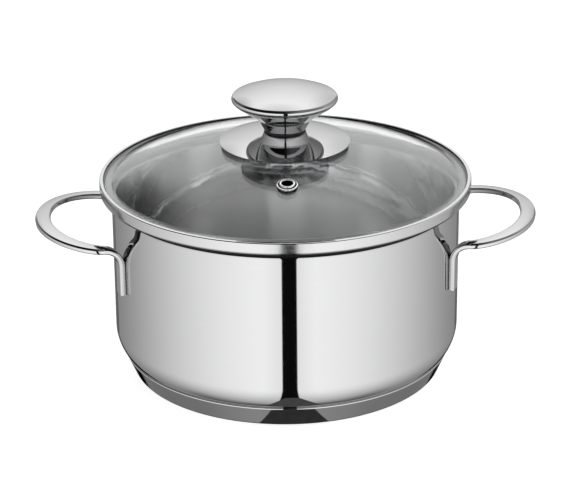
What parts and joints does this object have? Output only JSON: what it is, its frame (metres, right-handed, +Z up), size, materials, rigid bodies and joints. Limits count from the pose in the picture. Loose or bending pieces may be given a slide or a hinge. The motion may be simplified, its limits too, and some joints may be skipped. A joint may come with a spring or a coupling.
{
  "type": "stewing pot with glass lid",
  "caption": "Round polished steel stewing pot with loop handles, a flared pouring lip, an encapsulated base and a domed glass lid with steel rim, steam vent and knob.",
  "frame": {"origin": "middle of the pot's flat underside", "axes": "+Z up along the pot's axis, +X through the right handle, -Y towards the front with the steam vent"},
  "size_m": [0.2332, 0.1722, 0.1372],
  "materials": {
    "polished_steel": "mirror-polished stainless steel, satin on the pot's floor",
    "satin_steel": "fine satin stainless steel",
    "spreader_aluminium": "bare rolled aluminium",
    "clear_glass": "clear toughened glass",
    "clear_silicone": "milky translucent silicone",
    "black_silicone": "matt black silicone",
    "fastener_steel": "bright drawn stainless steel"
  },
  "bodies": {
    "pot": {"pot_shell": "polished_steel", "base_heat_spreader": "spreader_aluminium", "base_cap": "satin_steel", "handle_left": "polished_steel", "handle_right": "polished_steel"},
    "lid": {"lid_glass": "clear_glass", "lid_rim_band": "satin_steel", "lid_rim_seal": "clear_silicone", "vent_eyelet": "polished_steel", "vent_gasket": "clear_silicone", "knob_cap": "polished_steel", "knob_neck": "polished_steel", "knob_neck_ring": "black_silicone", "knob_nut": "fastener_steel", "knob_disc": "polished_steel", "disc_collar": "clear_silicone", "lower_gasket": "clear_silicone", "cup_washer": "fastener_steel", "lock_washer": "fastener_steel", "knob_screw": "fastener_steel"}
  },
  "joints": [
    {"name": "lid_lift", "type": "slide", "parent": "pot", "child": "lid", "axis": [0, 0, 1], "range_m": [0, 0.15]}
  ]
}
